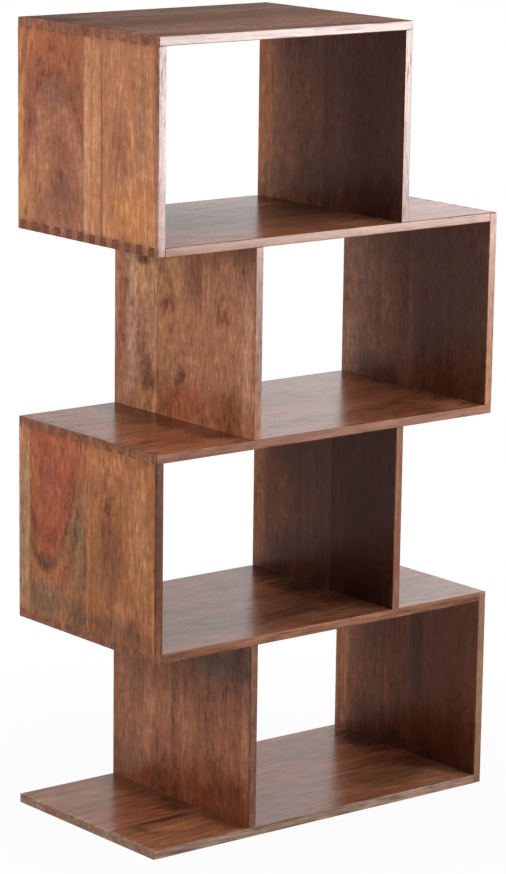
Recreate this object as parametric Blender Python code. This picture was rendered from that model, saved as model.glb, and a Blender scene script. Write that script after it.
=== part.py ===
"""Zig-zag cube bookcase in edge-glued solid wood, piece by piece, in metres and +Z up.

The origin is on the floor, in the middle of the footprint. X runs from left to right, -Y is the
front, and Z is up. Every panel is three staves with the grain along the panel. Panels meet in finger
joints at the outer corners, and on hidden dowels where a wall stands inside a board's length.
"""

from dataclasses import dataclass
from math import pi

import bmesh
import bpy

# Sizes of the case
WIDTH = 0.750
DEPTH = 0.400
CUBE_WIDTH = 0.543
BAY_HEIGHT = 0.330
BOARD_THICKNESS = 0.016
EASED_EDGE = 0.0010

# Finger joints and glue lines
GLUE_GAP = 0.0003
FINGER_WIDTH = 0.0167
LEAST_FINGER = 0.0040

# Hidden dowels
DOWEL_DIAMETER = 0.008
DOWEL_LENGTH = 0.030
DOWEL_COVER = 0.005
DOWEL_END_GAP = 0.0005
DOWEL_FIT = 0.0003
DOWEL_CHAMFER = 0.0010
DOWEL_SIDES = 12

# Colours of the lacquered wood, as linear values
TONES = {
    "amber": (0.360, 0.165, 0.075),
    "russet": (0.285, 0.098, 0.045),
    "walnut": (0.215, 0.092, 0.050),
    "umber": (0.135, 0.058, 0.034),
    "beech": (0.560, 0.390, 0.230),
}
LACQUER_ROUGHNESS = 0.32
DOWEL_ROUGHNESS = 0.70

# The four cubes from the floor up, with the side that each is set flush to
CUBES = (("bottom", "right"), ("lower", "left"), ("upper", "right"), ("top", "left"))

# The five boards from the floor up, and whether the finger at the very front is the board's own
BOARDS = (
    ("base_board", False),
    ("lower_shelf", False),
    ("middle_shelf", True),
    ("upper_shelf", False),
    ("top_board", True),
)

# Widths of the back and middle staves of each panel; the front stave takes what is left of the depth
STAVE_WIDTHS = {
    "base_board": (0.154, 0.092),
    "lower_shelf": (0.118, 0.126),
    "middle_shelf": (0.136, 0.112),
    "upper_shelf": (0.110, 0.128),
    "top_board": (0.128, 0.120),
    "bottom_left_wall": (0.095, 0.080),
    "bottom_right_wall": (0.140, 0.086),
    "lower_left_wall": (0.034, 0.168),
    "lower_right_wall": (0.140, 0.085),
    "upper_left_wall": (0.122, 0.130),
    "upper_right_wall": (0.105, 0.081),
    "top_left_wall": (0.190, 0.052),
    "top_right_wall": (0.186, 0.072),
}

# Tones of the back, middle and front staves of each panel
STAVE_TONES = {
    "base_board": ("walnut", "russet", "walnut"),
    "lower_shelf": ("umber", "walnut", "walnut"),
    "middle_shelf": ("walnut", "russet", "walnut"),
    "upper_shelf": ("walnut", "umber", "walnut"),
    "top_board": ("umber", "walnut", "umber"),
    "bottom_left_wall": ("walnut", "walnut", "russet"),
    "bottom_right_wall": ("walnut", "umber", "umber"),
    "lower_left_wall": ("amber", "russet", "amber"),
    "lower_right_wall": ("umber", "walnut", "umber"),
    "upper_left_wall": ("walnut", "walnut", "russet"),
    "upper_right_wall": ("walnut", "walnut", "umber"),
    "top_left_wall": ("russet", "amber", "amber"),
    "top_right_wall": ("russet", "umber", "umber"),
}

PLACES = ("back", "middle", "front")
TINY = 1e-6
PITCH = BAY_HEIGHT + BOARD_THICKNESS
LEFT, RIGHT = -WIDTH / 2, WIDTH / 2
FRONT, BACK = -DEPTH / 2, DEPTH / 2


@dataclass
class End:
    """One end of a panel, measured along the panel's own length.

    reach is where the end, or its finger tips, lie. A finger end also has a shoulder, where its
    notches stop, and says whether the finger at the very front is its own. eased holds the levels
    through the thickness whose edge at this end is bare.
    """

    reach: float
    shoulder: float = None
    first_is_own: bool = None
    eased: tuple = ()


@dataclass
class Piece:
    """A stave's object with the front and back sides that it lies between."""

    solid: object
    front: float
    back: float


def clear_scene():
    for old in list(bpy.data.objects):
        bpy.data.objects.remove(old, do_unlink=True)


def wood(name, tone, roughness):
    """A plain lacquered wood of one tone."""
    material = bpy.data.materials.new(name)
    material.use_nodes = True
    shader = material.node_tree.nodes["Principled BSDF"]
    shader.inputs["Base Color"].default_value = (*TONES[tone], 1.0)
    shader.inputs["Roughness"].default_value = roughness
    shader.inputs["Metallic"].default_value = 0.0
    return material


def add_empty(name, parent, location, turn):
    """An empty that carries a panel's staves: turn stands a board on end to make it a wall."""
    empty = bpy.data.objects.new(name, None)
    empty.parent = parent
    empty.location = location
    empty.rotation_euler = (0.0, turn, 0.0)
    bpy.context.scene.collection.objects.link(empty)
    return empty


def add_solid(name, mesh, parent):
    solid = bpy.data.objects.new(name, mesh)
    solid.parent = parent
    bpy.context.scene.collection.objects.link(solid)
    return solid


def finger_lines():
    """The places across the depth where the fingers of two panels meet, from front to back.

    The fingers share the depth evenly, with half a finger at the front and half at the back.
    """
    count = round(DEPTH / FINGER_WIDTH)
    return [FRONT + (line + 0.5) * DEPTH / count for line in range(count)]


def seam(wanted):
    """A stave seam: it moves onto a finger line that is so close that a sliver would be left."""
    nearest = min(finger_lines(), key=lambda line: abs(line - wanted))
    return nearest if abs(nearest - wanted) < LEAST_FINGER else wanted


def stave_sides(panel):
    """(front, back) sides of a panel's back, middle and front staves, with a glue line between them."""
    back_width, middle_width = STAVE_WIDTHS[panel]
    back_seam = seam(BACK - back_width)
    front_seam = seam(BACK - back_width - middle_width)
    half = GLUE_GAP / 2
    return (
        (back_seam + half, BACK),
        (front_seam + half, back_seam - half),
        (FRONT, front_seam - half),
    )


def end_steps(end):
    """Where an end with fingers steps in or out, from front to back, half a glue line off each line."""
    steps = []
    own = end.first_is_own
    for line in finger_lines():
        steps.append(line - GLUE_GAP / 2 if own else line + GLUE_GAP / 2)
        own = not own
    return steps


def end_line(end, front, back):
    """Corners of one stave end from its front side to its back side, stepped where it has fingers."""
    if end.shoulder is None:
        return [(end.reach, front), (end.reach, back)]
    steps = end_steps(end)
    passed = sum(step <= front + TINY for step in steps)
    inside = [step for step in steps if front + TINY < step < back - TINY]
    levels = (end.reach, end.shoulder) if end.first_is_own else (end.shoulder, end.reach)
    corners = [front, *inside, back]
    points = []
    for number, (start, stop) in enumerate(zip(corners, corners[1:])):
        level = levels[(passed + number) % 2]
        points += [(level, start), (level, stop)]
    return points


def stave_outline(low, high, front, back):
    """The stave's outline in its panel's plane, round from the front of its low end."""
    return end_line(low, front, back) + end_line(high, front, back)[::-1]


def is_bare(edge, low, high):
    """Whether an edge of a stave is an outer arris of the case, which the maker eases."""
    first, second = (vertex.co for vertex in edge.verts)
    run = second - first
    on_side = min(abs(first.y - FRONT), abs(first.y - BACK)) < TINY and abs(run.y) < TINY
    if abs(run.x) > TINY:
        return on_side
    for end in (low, high):
        if abs(first.x - end.reach) > TINY or not end.eased:
            continue
        if abs(run.z) > TINY:
            return on_side
        return any(abs(first.z - level) < TINY for level in end.eased)
    return False


def stave_mesh(name, outline, low, high):
    """The outline extruded through the board's thickness, with its bare edges marked for easing."""
    shape = bmesh.new()
    corners = [shape.verts.new((along, across, 0.0)) for along, across in outline]
    face = shape.faces.new(corners)
    raised = bmesh.ops.extrude_face_region(shape, geom=[face])["geom"]
    lifted = [item for item in raised if isinstance(item, bmesh.types.BMVert)]
    bmesh.ops.translate(shape, verts=lifted, vec=(0.0, 0.0, BOARD_THICKNESS))
    bmesh.ops.recalc_face_normals(shape, faces=shape.faces)
    weight = shape.edges.layers.float.new("bevel_weight_edge")
    for edge in shape.edges:
        edge[weight] = 1.0 if is_bare(edge, low, high) else 0.0
    mesh = bpy.data.meshes.new(name)
    shape.to_mesh(mesh)
    shape.free()
    return mesh


def add_panel(name, root, location, turn, low, high):
    """A board or wall: its three staves from the back, on an empty of their own."""
    panel = add_empty(name, root, location, turn)
    pieces = []
    for place, tone, (front, back) in zip(PLACES, STAVE_TONES[name], stave_sides(name)):
        node = f"{name}_{place}_stave"
        mesh = stave_mesh(node, stave_outline(low, high, front, back), low, high)
        mesh.materials.append(wood(f"{node}_wood", tone, LACQUER_ROUGHNESS))
        solid = add_solid(node, mesh, panel)
        ease = solid.modifiers.new("eased_edges", "BEVEL")
        ease.limit_method = "WEIGHT"
        ease.width = EASED_EDGE
        ease.segments = 1
        pieces.append(Piece(solid, front, back))
    return pieces


def rod_mesh(name, radius, length):
    """A straight round rod along Z, centred on its own origin."""
    shape = bmesh.new()
    bmesh.ops.create_cone(
        shape, cap_ends=True, segments=DOWEL_SIDES, radius1=radius, radius2=radius, depth=length
    )
    mesh = bpy.data.meshes.new(name)
    shape.to_mesh(mesh)
    shape.free()
    return mesh


def add_dowel(name, root, place, into_board):
    """A dowel across the joint at place, on the board's face; into_board is +1 if the board is above.

    Returns the cutter of its hole, which runs through the glue line into both panels.
    """
    hole_in_board = BOARD_THICKNESS - DOWEL_COVER
    dowel_in_board = hole_in_board - DOWEL_END_GAP
    hole_in_wall = DOWEL_LENGTH - dowel_in_board + DOWEL_END_GAP
    x, y, z = place

    mesh = rod_mesh(name, DOWEL_DIAMETER / 2, DOWEL_LENGTH)
    mesh.materials.append(wood(f"{name}_wood", "beech", DOWEL_ROUGHNESS))
    mesh.shade_smooth()
    mesh.set_sharp_from_angle(angle=pi / 4)
    dowel = add_solid(name, mesh, root)
    dowel.location = (x, y, z + into_board * (dowel_in_board - DOWEL_LENGTH / 2))
    chamfer = dowel.modifiers.new("chamfered_ends", "BEVEL")
    chamfer.limit_method = "ANGLE"
    chamfer.angle_limit = pi / 3
    chamfer.width = DOWEL_CHAMFER
    chamfer.segments = 1

    hole_mesh = rod_mesh(f"{name}_hole", DOWEL_DIAMETER / 2 + DOWEL_FIT, hole_in_board + hole_in_wall)
    hole = add_solid(f"{name}_hole", hole_mesh, root)
    hole.location = (x, y, z + into_board * (hole_in_board - hole_in_wall) / 2)
    hole.hide_render = True
    hole.display_type = "WIRE"
    return hole


def drill(piece, hole):
    cut = piece.solid.modifiers.new(hole.name, "BOOLEAN")
    cut.operation = "DIFFERENCE"
    cut.solver = "EXACT"
    cut.object = hole


def dowel_joint(wall_name, end_name, root, x, z, into_board, wall_pieces, board_pieces):
    """Pins each stave of a wall to the board that its end stands against, with one dowel."""
    reach = DOWEL_DIAMETER / 2 + DOWEL_FIT
    for place, stave in zip(PLACES, wall_pieces):
        y = (stave.front + stave.back) / 2
        hole = add_dowel(f"{wall_name}_{end_name}_dowel_{place}", root, (x, y, z), into_board)
        drill(stave, hole)
        for board in board_pieces:
            if board.front < y + reach and board.back > y - reach:
                drill(board, hole)


def cube_span(level):
    """Left and right faces of the cube at a level."""
    side = CUBES[level][1]
    return (LEFT, LEFT + CUBE_WIDTH) if side == "left" else (RIGHT - CUBE_WIDTH, RIGHT)


def board_span(level):
    """Left and right ends of the board under the cube at a level; the last one roofs the top cube."""
    return (LEFT, RIGHT) if level < len(CUBES) else cube_span(level - 1)


def flush(first, second):
    return abs(first - second) < TINY


def board_ends(level):
    """The left and right ends of a board: fingers where a wall comes flush with it, else bare."""
    span = board_span(level)
    length = span[1] - span[0]
    first_is_own = BOARDS[level][1]
    ends = []
    for side, reach, inwards in ((0, 0.0, 1.0), (1, length, -1.0)):
        end = End(reach, eased=(0.0, BOARD_THICKNESS))
        for cube, outer_level in ((level - 1, BOARD_THICKNESS), (level, 0.0)):
            if 0 <= cube < len(CUBES) and flush(cube_span(cube)[side], span[side]):
                shoulder = reach + inwards * (BOARD_THICKNESS + GLUE_GAP)
                end = End(reach, shoulder, first_is_own, (outer_level,))
        ends.append(end)
    return ends


def wall_end(level, side, board):
    """The end of a wall at the board under it or over it: fingers at the board's end, else plain."""
    own_first = not BOARDS[board][1]
    outer_level = BOARD_THICKNESS if side == 0 else 0.0
    at_board_end = flush(cube_span(level)[side], board_span(board)[side])
    if board == level:
        reach, shoulder = 0.0, BOARD_THICKNESS + GLUE_GAP
    else:
        reach, shoulder = PITCH + BOARD_THICKNESS, PITCH - GLUE_GAP
    return End(reach, shoulder, own_first, (outer_level,)) if at_board_end else End(shoulder)


def build_boards(root):
    panels = []
    for level, (name, _) in enumerate(BOARDS):
        low, high = board_ends(level)
        place = (board_span(level)[0], 0.0, level * PITCH)
        panels.append(add_panel(name, root, place, 0.0, low, high))
    return panels


def build_cube(level, root, boards):
    """The two walls of one cube, standing on the board of their level, with the dowels they need."""
    cube = CUBES[level][0]
    floor = level * PITCH
    for side, side_name in enumerate(("left", "right")):
        name = f"{cube}_{side_name}_wall"
        right_face = cube_span(level)[side] + (BOARD_THICKNESS if side == 0 else 0.0)
        low, high = wall_end(level, side, level), wall_end(level, side, level + 1)
        pieces = add_panel(name, root, (right_face, 0.0, floor), -pi / 2, low, high)
        middle = right_face - BOARD_THICKNESS / 2
        if low.shoulder is None:
            face = floor + BOARD_THICKNESS
            dowel_joint(name, "bottom", root, middle, face, -1.0, pieces, boards[level])
        if high.shoulder is None:
            face = floor + PITCH
            dowel_joint(name, "top", root, middle, face, 1.0, pieces, boards[level + 1])


def main():
    clear_scene()
    root = add_empty("bookcase", None, (0.0, 0.0, 0.0), 0.0)
    boards = build_boards(root)
    for level in range(len(CUBES)):
        build_cube(level, root, boards)


main()
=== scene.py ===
# %% [markdown]
# # A zig-zag cube bookcase in lacquered solid wood
# Four open cubes are stacked in turn to the left and to the right, and each shares its floor and its
# roof with its neighbours. Every panel is glued up from three staves, and the outer corners are finger
# joints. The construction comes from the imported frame. This lesson gives each stave its sanded edges
# and its own piece of timber, then lights the case and sets up the camera.

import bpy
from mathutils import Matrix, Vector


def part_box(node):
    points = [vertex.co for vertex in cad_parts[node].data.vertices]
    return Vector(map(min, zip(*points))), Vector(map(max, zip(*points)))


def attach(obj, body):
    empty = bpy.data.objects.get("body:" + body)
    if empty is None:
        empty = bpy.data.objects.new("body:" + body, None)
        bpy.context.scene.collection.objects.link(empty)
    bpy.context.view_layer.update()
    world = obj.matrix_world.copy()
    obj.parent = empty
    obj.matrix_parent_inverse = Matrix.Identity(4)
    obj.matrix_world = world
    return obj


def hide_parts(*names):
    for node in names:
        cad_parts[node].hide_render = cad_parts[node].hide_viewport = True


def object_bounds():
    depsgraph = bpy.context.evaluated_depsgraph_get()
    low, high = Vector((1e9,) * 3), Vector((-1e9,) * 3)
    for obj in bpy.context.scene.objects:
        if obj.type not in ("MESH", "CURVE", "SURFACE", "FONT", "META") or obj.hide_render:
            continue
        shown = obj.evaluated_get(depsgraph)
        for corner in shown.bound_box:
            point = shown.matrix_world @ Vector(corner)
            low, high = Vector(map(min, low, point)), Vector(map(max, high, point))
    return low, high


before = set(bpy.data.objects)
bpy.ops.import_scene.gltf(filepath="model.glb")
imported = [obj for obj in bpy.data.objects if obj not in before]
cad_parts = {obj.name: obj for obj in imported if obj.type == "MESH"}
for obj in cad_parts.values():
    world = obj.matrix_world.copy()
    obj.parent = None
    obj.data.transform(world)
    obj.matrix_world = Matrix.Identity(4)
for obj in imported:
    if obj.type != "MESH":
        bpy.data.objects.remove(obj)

# %% Other tools, and the size of the case
from dataclasses import dataclass
from math import acos, degrees, pi, radians

import bpy
import numpy as np
from mathutils import Vector

CAD_BOX = [list(corner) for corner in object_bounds()]
CASE_LOW, CASE_HIGH = np.array(CAD_BOX)
FRONT, BACK = CASE_LOW[1], CASE_HIGH[1]
STAVES = sorted(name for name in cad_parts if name.endswith("_stave"))
DOWELS = sorted(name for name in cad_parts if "_dowel_" in name)
print("case", np.round(CASE_HIGH - CASE_LOW, 4), "m,", len(STAVES), "staves,", len(DOWELS), "dowels")

# %% [markdown]
# ## Which way each stave runs
# Wood is strongest along its grain, so a shelf's grain runs from side to side and a wall's runs upwards.
# It helps to think of every stave in the same three directions: along the grain, across the panel's
# depth, and through its thickness. A stave is then the same shape whether it lies down or stands up.

# %% Directions of a stave
X, Y, Z = 0, 1, 2
LYING, STANDING = (X, Y, Z), (Z, Y, X)


def directions(node):
    """The axes that run along, across and through a stave."""
    return STANDING if "_wall_" in node else LYING


def corners_of(node):
    """Lowest and highest corner of a node, as arrays."""
    low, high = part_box(node)
    return np.array(low), np.array(high)


def points_of(node):
    """All the vertices of a node of the frame, as an array with one row for each."""
    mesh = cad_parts[node].data
    flat = np.empty(len(mesh.vertices) * 3, np.float32)
    mesh.vertices.foreach_get("co", flat)
    return flat.reshape(-1, 3).astype(float)


walls = sum(directions(node) is STANDING for node in STAVES)
print(walls, "staves stand and", len(STAVES) - walls, "lie")

# %% [markdown]
# ## The ends of a stave
# At an outer corner the end of a stave is cut into fingers, which fill the notches of the next panel.
# Fingers could be added as little blocks, but then their grain would not run on from the stave. So the
# end is drawn as one stepped line from front to back. The frame says which of the cells along that line
# hold a finger: only a finger has corners out at the stave's reach. End grain wears faster than long
# grain under the sander, so every finger tip is sunk by its own hair's breadth.

# %% Sunk finger tips
END_GRAIN_SINK = 0.00025
SANDING_SEED = 11


def tip_depths(node, end, count):
    """How far the sander sank each finger tip of an end: a random depth, the same at every call."""
    sanding = np.random.default_rng((SANDING_SEED, STAVES.index(node), end))
    return sanding.uniform(0.0, END_GRAIN_SINK, count)


print("three tips are sunk by", 1000 * tip_depths("top_left_wall_front_stave", 1, 3).round(5), "mm")

# %% Stepped line of an end
FINGER_CELLS = 24
GLUE_LINE = 0.0003
HAIR = 0.0001
NEAR_REACH = 0.002
THICKNESS = np.subtract(*corners_of("base_board_front_stave")[::-1])[Z]
FINGER_LINES = FRONT + (np.arange(FINGER_CELLS) + 0.5) * (BACK - FRONT) / FINGER_CELLS


def end_line(node, end):
    """Points (along, across) of a stave's low or high end, from its front side to its back side.

    Each cell gives two points, at its sunk finger tip or at the shoulder of its notch. The step between
    two cells lies half a glue line inside the finger.
    """
    along, across, _ = directions(node)
    box = corners_of(node)
    front, back = box[0][across], box[1][across]
    reach = box[end][along]
    inward = 1 - 2 * end
    shoulder = reach + inward * (THICKNESS + GLUE_LINE)
    points = points_of(node)
    if not np.any(np.abs(points[:, along] - shoulder) < HAIR):
        return np.array([[reach, front], [reach, back]])
    inside = (FINGER_LINES > front + GLUE_LINE) & (FINGER_LINES < back - GLUE_LINE)
    edges = np.concatenate(([front], FINGER_LINES[inside], [back]))
    tips = points[np.abs(points[:, along] - reach) < NEAR_REACH, across]
    is_finger = ((tips > edges[:-1, None] + HAIR) & (tips < edges[1:, None] - HAIR)).any(axis=1)
    edges[1:-1] += np.where(is_finger[1:], GLUE_LINE / 2, -GLUE_LINE / 2)
    sunk = reach + inward * tip_depths(node, end, len(is_finger))
    levels = np.where(is_finger, sunk, shoulder)
    return np.column_stack((np.repeat(levels, 2), np.repeat(edges, 2)[1:-1]))


sample = end_line("top_left_wall_front_stave", 1)
print("top end of a front stave:", len(sample), "points, reaching", round(sample[:, 0].max(), 4), "m")

# %% [markdown]
# ## Which edges the maker sands
# An arris that a hand can touch is eased with sandpaper, and an edge inside a joint is left crisp. An end
# arris is open to the hand where there is air past the end and air past the face. Both are asked of the
# frame's boxes, so the answer holds for every board and wall with no list to keep.

# %% Air around a stave
PROBE = 0.003
STAVE_BOXES = np.array([corners_of(node) for node in STAVES])


def in_air(place):
    """True where a point lies in no stave's box."""
    within = (place > STAVE_BOXES[:, 0]) & (place < STAVE_BOXES[:, 1])
    return not within.all(axis=1).any()


def open_arrises(node):
    """For the low and the high end, whether the arris on the low and on the high face is open."""
    along, _, through = directions(node)
    box = corners_of(node)
    found = np.zeros((2, 2), bool)
    for end in (0, 1):
        past_end = np.mean(box, axis=0)
        past_end[along] = box[end][along] + (2 * end - 1) * PROBE
        for face in (0, 1):
            past_face = past_end.copy()
            past_face[along] = box[end][along] - (2 * end - 1) * PROBE
            past_face[through] = box[face][through] + (2 * face - 1) * PROBE
            found[end, face] = in_air(past_end) and in_air(past_face)
    return found


print("open arrises of the top board's ends:", open_arrises("top_board_front_stave").tolist())

# %% [markdown]
# ## The outline of a stave
# Seen square on its face, a stave is a closed line: one end, a long side, the other end, the other side.
# A Bevel modifier could soften its corners, but it would round the glued ones too. Here each corner asks
# its two edges whether they are open. Where both are, the outline itself turns a small arc, which gives
# the soft corner of a sanded case. Each point also learns which way the sander moves it in.

# %% Edges of the outline
MOSTLY = 0.5


def square_outline(node):
    """Outline points of a stave before its corners are softened, counter-clockwise."""
    return np.concatenate((end_line(node, 0)[::-1], end_line(node, 1)))


def edge_facts(node, outline):
    """Outward normal of each outline edge, and whether it is open on the low and on the high face."""
    along, _, _ = directions(node)
    box, arrises = corners_of(node), open_arrises(node)
    run = np.roll(outline, -1, axis=0) - outline
    normal = np.column_stack((run[:, 1], -run[:, 0])) / np.linalg.norm(run, axis=1)[:, None]
    faces_end, faces_side = (np.abs(normal) > MOSTLY).T
    on_case = np.abs(outline[:, 1, None] - [FRONT, BACK]) < HAIR
    is_side = faces_side & on_case.any(axis=1)
    open_edge = np.repeat(is_side[:, None], 2, axis=1)
    for end in (0, 1):
        at_reach = np.abs(outline[:, 0] - box[end][along]) < 2 * END_GRAIN_SINK
        open_edge |= (faces_end & at_reach)[:, None] & arrises[end]
    return normal, open_edge.astype(float)


_, sample = edge_facts("top_board_front_stave", square_outline("top_board_front_stave"))
print(int(sample.any(axis=1).sum()), "of", len(sample), "edges of the top board's front stave are open")

# %% Outline with soft corners
CORNER_RADIUS = 0.0021
ARC_STEPS = 4


def soft_outline(node):
    """Outline points, counter-clockwise, with the direction in which each moves in on either face.

    A corner of two open edges becomes a quarter circle: its centre, plus the radius times the last
    edge's normal by the cosine and the next edge's normal by the sine of the turn.
    """
    outline = square_outline(node)
    after, open_after = edge_facts(node, outline)
    before, open_before = np.roll(after, 1, axis=0), np.roll(open_after, 1, axis=0)
    is_round = open_after.any(axis=1) & open_before.any(axis=1)
    copies = np.where(is_round, ARC_STEPS + 1, 1)
    pick = np.repeat(np.arange(len(outline)), copies)
    step = np.arange(copies.sum()) - np.repeat(np.cumsum(copies) - copies, copies)
    turn = step / ARC_STEPS * pi / 2
    soft = is_round[pick]
    cosine, sine = np.where(soft, np.cos(turn), 1.0), np.where(soft, np.sin(turn), 1.0)
    spoke_before = before[pick] * cosine[:, None]
    spoke_after = after[pick] * sine[:, None]
    centre = outline[pick] - CORNER_RADIUS * (before + after)[pick]
    arc = centre + CORNER_RADIUS * (spoke_before + spoke_after)
    points = np.where(soft[:, None], arc, outline[pick])
    inward = [
        -(spoke_before * open_before[pick, face, None] + spoke_after * open_after[pick, face, None])
        for face in (0, 1)
    ]
    return points, inward


sample, _ = soft_outline("top_board_front_stave")
print("outline of the top board's front stave:", len(sample), "points")

# %% [markdown]
# ## The body of a stave
# The surface is a profile carried round the outline. The profile climbs from the lower face to the upper
# one and turns a quarter circle at each open arris. On a glued edge the same rings simply go straight up,
# so every stave has one regular grid of rings, and two flat caps close it.

# %% Quads between rings


def ring_quads(rings, count):
    """Corner numbers of the quads between rings of count points each, with every ring closed."""
    ring, spot = np.meshgrid(np.arange(rings - 1), np.arange(count), indexing="ij")
    here, ahead = ring * count + spot, ring * count + (spot + 1) % count
    return np.stack((here, ahead, ahead + count, here + count), axis=-1).reshape(-1, 4)


print("two rings of three points:", ring_quads(2, 3).tolist())

# %% Rings from face to face
EASE_RADIUS = 0.0013


def stave_surface(node):
    """Vertices, ring quads, end caps and arris weights of a stave.

    Ring by ring, a point is its outline point moved in by the radius times one minus the sine of the
    climb, at a height of the radius times one minus its cosine; the upper face mirrors the lower one.
    """
    along, across, through = directions(node)
    box = corners_of(node)
    outline, inward = soft_outline(node)
    climb = np.linspace(0.0, pi / 2, ARC_STEPS + 1)
    inset = EASE_RADIUS * (1 - np.sin(climb))
    rise = EASE_RADIUS * (1 - np.cos(climb))
    low_rings = outline + inset[:, None, None] * inward[0]
    high_rings = (outline + inset[:, None, None] * inward[1])[::-1]
    heights = np.concatenate((box[0][through] + rise, (box[1][through] - rise)[::-1]))
    flat = np.concatenate((low_rings, high_rings))
    rings, count = flat.shape[:2]
    places = np.empty((rings, count, 3))
    places[:, :, along] = flat[:, :, 0]
    places[:, :, across] = flat[:, :, 1]
    places[:, :, through] = heights[:, None]
    quads = ring_quads(rings, count)
    caps = np.stack((np.arange(count)[::-1], (rings - 1) * count + np.arange(count)))
    if directions(node) is STANDING:
        quads, caps = quads[:, ::-1], caps[:, ::-1]
    wear_and_sheen = np.sin(2 * climb)[:, None] * np.linalg.norm(inward, axis=2)[:, None]
    arris = np.concatenate((wear_and_sheen[0], wear_and_sheen[1][::-1]))
    return places.reshape(-1, 3), quads, caps, arris.ravel()


sample, quads, _, _ = stave_surface("top_board_front_stave")
print("surface of the top board's front stave:", len(sample), "points,", len(quads), "quads")

# %% [markdown]
# ## All the staves
# Each new stave stands for one node of the frame, rides on the case and takes one of the record's finishes
# by its tone. The arris weight goes along as an attribute of the mesh, so that the finish can pale the
# colour along the edges, for wear and as painted sheen, and dull the shine there. Caps are flat, and the
# rings between them are shaded smooth.

# %% Tones of the staves
STAVE_PLACES = ("back", "middle", "front")
TONES = {
    "base_board": ("walnut", "russet", "walnut"),
    "lower_shelf": ("umber", "walnut", "walnut"),
    "middle_shelf": ("walnut", "russet", "walnut"),
    "upper_shelf": ("walnut", "umber", "walnut"),
    "top_board": ("umber", "walnut", "umber"),
    "bottom_left_wall": ("walnut", "walnut", "russet"),
    "bottom_right_wall": ("walnut", "umber", "umber"),
    "lower_left_wall": ("amber", "russet", "amber"),
    "lower_right_wall": ("umber", "walnut", "umber"),
    "upper_left_wall": ("walnut", "walnut", "russet"),
    "upper_right_wall": ("walnut", "walnut", "umber"),
    "top_left_wall": ("russet", "amber", "amber"),
    "top_right_wall": ("russet", "umber", "umber"),
}
TONE_OF = {
    f"{panel}_{place}_stave": tone
    for panel, tones in TONES.items()
    for place, tone in zip(STAVE_PLACES, tones)
}
print({tone: list(TONE_OF.values()).count(tone) for tone in sorted(set(TONE_OF.values()))})

# %% Make the pieces
SHARP_ANGLE = radians(50)


def add_piece(name, mesh):
    """A new object for a mesh, at the origin of the scene."""
    piece = bpy.data.objects.new(name, mesh)
    bpy.context.scene.collection.objects.link(piece)
    return piece


def add_stave(node):
    """The finished stave that stands for a node of the frame."""
    places, quads, caps, arris = stave_surface(node)
    mesh = bpy.data.meshes.new(f"{node}_finished")
    mesh.from_pydata(places.tolist(), [], quads.tolist() + caps.tolist())
    mesh.attributes.new("arris", "FLOAT", "POINT").data.foreach_set("value", arris.astype(np.float32))
    is_ring = np.arange(len(mesh.polygons)) < len(quads)
    mesh.polygons.foreach_set("use_smooth", is_ring)
    mesh.set_sharp_from_angle(angle=SHARP_ANGLE)
    mesh.validate()
    piece = add_piece(f"{node}_finished", mesh)
    piece.modifiers.new("even_shading", "WEIGHTED_NORMAL").keep_sharp = True
    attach(piece, "root")
    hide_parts(node)
    return piece


pieces = {node: add_stave(node) for node in STAVES}
print(len(pieces), "staves,", sum(len(piece.data.polygons) for piece in pieces.values()), "faces")

# %% [markdown]
# ## Small tools for shader nodes
# A finish is a tree of nodes. A few helpers keep the later cells short. The first add nodes, groups and
# materials, and the others are the sums, mixes and noises that wood is made of.

# %% Adding nodes


def add_node(tree, kind, inputs=(), **settings):
    """A node with its settings. An input that is a socket is linked, and any other value is set."""
    made = tree.nodes.new(kind)
    for name, value in settings.items():
        setattr(made, name, value)
    for key, value in dict(inputs).items():
        if isinstance(value, bpy.types.NodeSocket):
            tree.links.new(value, made.inputs[key])
        else:
            made.inputs[key].default_value = value
    return made


def list_tools(*tools):
    """Print the names of some helpers."""
    print("tools:", ", ".join(tool.__name__ for tool in tools))


list_tools(add_node, list_tools)

# %% Groups and materials
VECTOR, COLOUR, NUMBER = "NodeSocketVector", "NodeSocketColor", "NodeSocketFloat"


def open_group(name, inputs, outputs):
    """A new node group: its tree, its given sockets and the inputs of its output node."""
    tree = bpy.data.node_groups.new(name, "ShaderNodeTree")
    for in_out, sockets in (("INPUT", inputs), ("OUTPUT", outputs)):
        for label, kind in sockets.items():
            tree.interface.new_socket(name=label, in_out=in_out, socket_type=kind)
    given = tree.nodes.new("NodeGroupInput").outputs
    return tree, given, tree.nodes.new("NodeGroupOutput").inputs


def use_group(tree, group, inputs):
    """The outputs of a node that uses a group."""
    return add_node(tree, "ShaderNodeGroup", inputs, node_tree=group).outputs


def new_material(name):
    """A new material, with its tree and its Principled shader."""
    material = bpy.data.materials.new(name)
    material.use_nodes = True
    return material, material.node_tree, material.node_tree.nodes["Principled BSDF"]


list_tools(open_group, use_group, new_material)

# %% Sums and steps


def work(tree, operation, *values):
    """The result of a Math node."""
    return add_node(tree, "ShaderNodeMath", enumerate(values), operation=operation).outputs[0]


def vector_work(tree, operation, *values, output="Vector", **more):
    """The result of a Vector Math node. Any named input, such as Scale, follows the numbered ones."""
    inputs = {**dict(enumerate(values)), **more}
    return add_node(tree, "ShaderNodeVectorMath", inputs, operation=operation).outputs[output]


def fade(tree, value, start, stop, low=0.0, high=1.0):
    """A smooth step of value from low at start to high at stop."""
    inputs = {"Value": value, "From Min": start, "From Max": stop, "To Min": low, "To Max": high}
    return add_node(tree, "ShaderNodeMapRange", inputs, interpolation_type="SMOOTHSTEP").outputs[0]


list_tools(work, vector_work, fade)

# %% Mixes and noises
MIX_SHARE, MIX_FIRST, MIX_SECOND, MIX_RESULT = 0, 6, 7, 2
NOISE_MIDDLE = 0.5


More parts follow.
